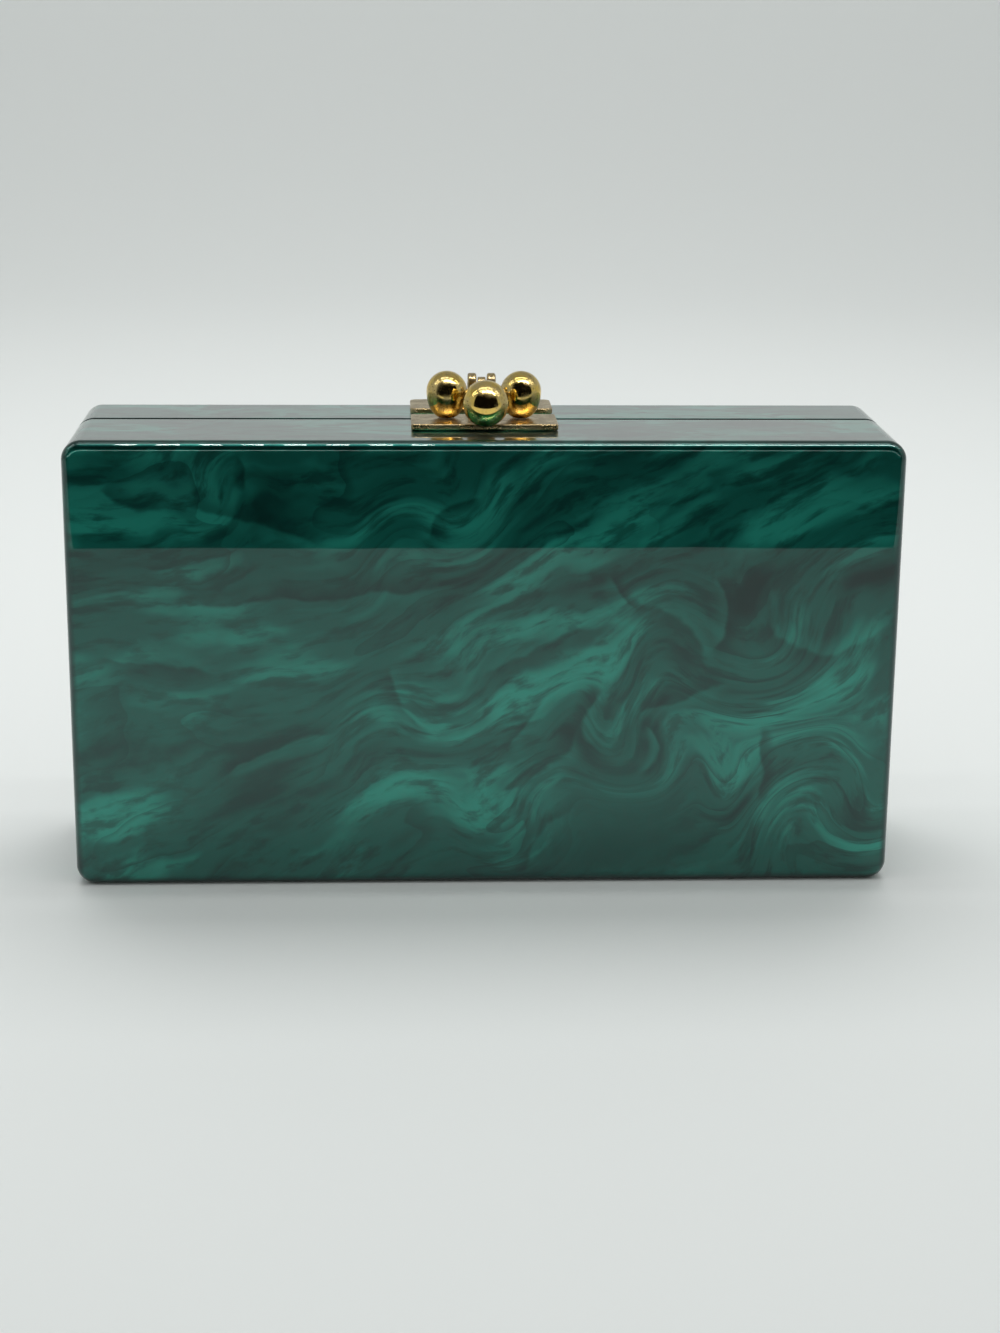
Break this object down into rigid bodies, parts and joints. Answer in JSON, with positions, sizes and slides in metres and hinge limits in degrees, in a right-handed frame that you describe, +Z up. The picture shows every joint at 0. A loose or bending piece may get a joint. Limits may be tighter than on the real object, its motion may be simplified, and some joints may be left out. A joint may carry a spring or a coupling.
{
  "type": "box bag",
  "caption": "Hard-sided box bag of marbled acrylic: two hollow trays hinged along the base, closed on top by a flip-lock clasp with gilt balls.",
  "frame": {"origin": "centre of the base that the bag stands on", "axes": "+Z up, +X along the long side, the front with the deeper tray faces -Y"},
  "size_m": [0.184, 0.049, 0.1135],
  "materials": {
    "acrylic": "polished, pearly green with darker marbled veins",
    "gilt_plate": "worn gilt, satin, pinkish where the gilding is thin",
    "gilt_ball": "polished gilt with fine tarnish specks",
    "gilt_hinge": "plain satin gilt"
  },
  "bodies": {
    "back_half": {"back_shell": "acrylic", "back_plate": "gilt_plate", "lever_pin": "gilt_plate", "hinge_leaf_back_left": "gilt_hinge", "hinge_leaf_back_right": "gilt_hinge", "hinge_pin_left": "gilt_hinge", "hinge_pin_right": "gilt_hinge"},
    "front_half": {"front_shell": "acrylic", "front_plate": "gilt_plate", "side_ball_left": "gilt_ball", "side_ball_right": "gilt_ball", "hinge_leaf_front_left": "gilt_hinge", "hinge_leaf_front_right": "gilt_hinge"},
    "lever": {"lever_arm": "gilt_plate", "front_ball": "gilt_ball"}
  },
  "joints": [
    {"name": "front_opens", "type": "hinge", "parent": "back_half", "child": "front_half", "pos_m": [0, 0.004, 0.0015], "axis": [1, 0, 0], "range_deg": [0, 90]},
    {"name": "lever_lifts", "type": "hinge", "parent": "back_half", "child": "lever", "pos_m": [0, 0.011, 0.10805], "axis": [-1, 0, 0], "range_deg": [0, 105]}
  ]
}
